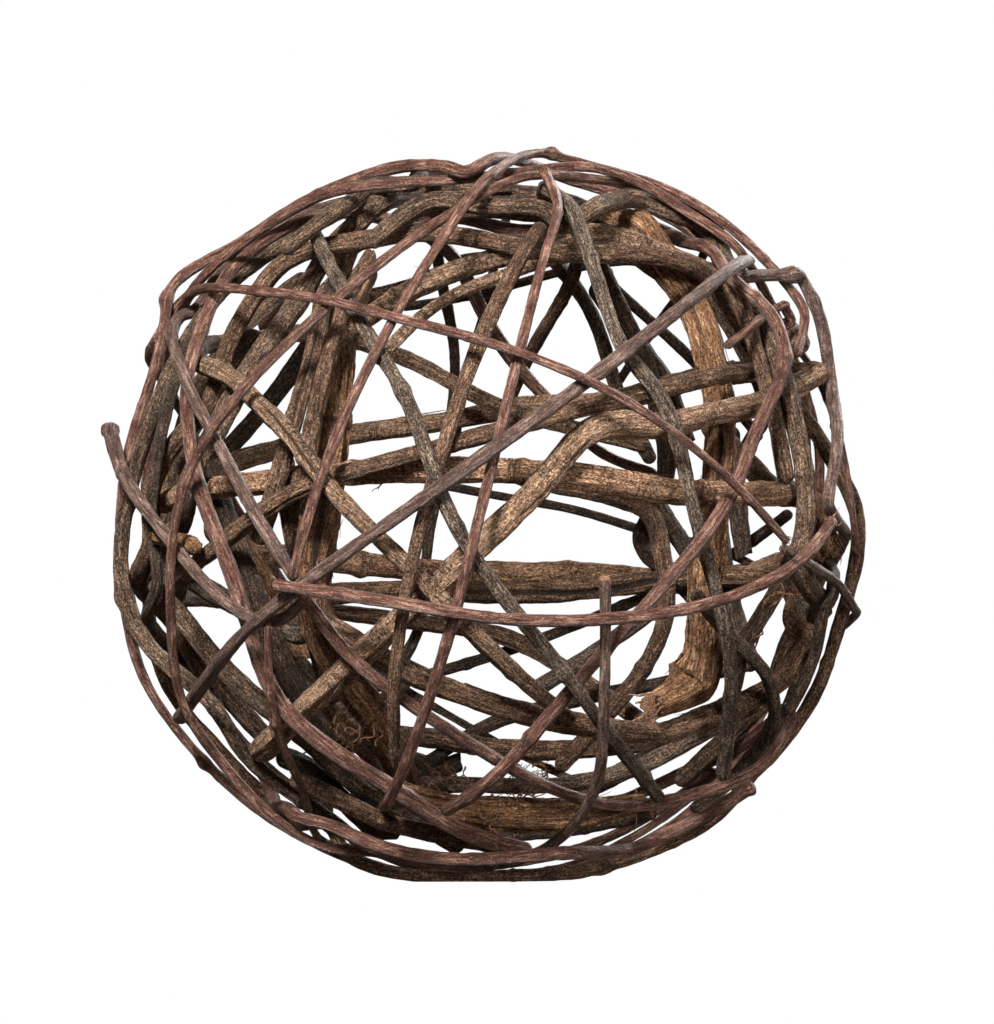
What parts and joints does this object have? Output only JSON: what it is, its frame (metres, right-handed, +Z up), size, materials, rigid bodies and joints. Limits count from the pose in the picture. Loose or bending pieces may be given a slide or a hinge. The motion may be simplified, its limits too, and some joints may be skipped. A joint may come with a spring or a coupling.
{
  "type": "decorative twig ball",
  "caption": "Open ball woven from bent vine shoots and twigs, hollow inside, with a small flat underside so that it lies still.",
  "frame": {"origin": "middle of the ball's footprint, at floor level", "axes": "+Z up, -Y towards the side seen from the front, +X to the right of that view"},
  "size_m": [0.2074, 0.196, 0.1993],
  "materials": {
    "russet": "smooth, slightly glossy red-brown bark",
    "plum": "smooth, satin purple-brown bark",
    "grey": "matt grey-brown bark with fine fissures",
    "dark": "matt dark brown bark",
    "brown": "matt mid-brown bark",
    "tan": "matt rough tan bark",
    "fibre": "matt stringy orange-brown bark"
  },
  "bodies": {
    "root": {"brown_twig_01": "brown", "brown_twig_02": "brown", "brown_twig_03": "brown", "brown_twig_04": "brown", "brown_vine_01": "brown", "brown_vine_02": "brown", "brown_vine_03": "brown", "brown_vine_04": "brown", "brown_vine_05": "brown", "dark_twig_01": "dark", "dark_twig_02": "dark", "dark_twig_03": "dark", "dark_twig_04": "dark", "dark_twig_05": "dark", "dark_twig_06": "dark", "dark_twig_07": "dark", "dark_twig_08": "dark", "dark_twig_09": "dark", "dark_twig_10": "dark", "dark_twig_11": "dark", "dark_twig_12": "dark", "dark_vine_01": "dark", "dark_vine_02": "dark", "fibre_vine_01": "fibre", "fibre_vine_02": "fibre", "fibre_vine_03": "fibre", "grey_twig_01": "grey", "grey_twig_02": "grey", "grey_twig_03": "grey", "grey_twig_04": "grey", "grey_twig_05": "grey", "grey_vine_01": "grey", "grey_vine_02": "grey", "grey_vine_03": "grey", "grey_vine_04": "grey", "plum_twig_01": "plum", "plum_twig_02": "plum", "plum_twig_03": "plum", "plum_twig_04": "plum", "plum_twig_05": "plum", "plum_twig_06": "plum", "russet_twig_01": "russet", "russet_twig_02": "russet", "russet_twig_03": "russet", "russet_twig_04": "russet", "russet_twig_05": "russet", "russet_twig_06": "russet", "russet_twig_07": "russet", "russet_twig_08": "russet", "russet_twig_09": "russet", "russet_twig_10": "russet", "russet_twig_11": "russet", "russet_twig_12": "russet", "russet_twig_13": "russet", "russet_twig_14": "russet", "tan_twig_01": "tan", "tan_vine_01": "tan", "tan_vine_02": "tan", "tan_vine_03": "tan", "tan_vine_04": "tan"}
  },
  "joints": []
}
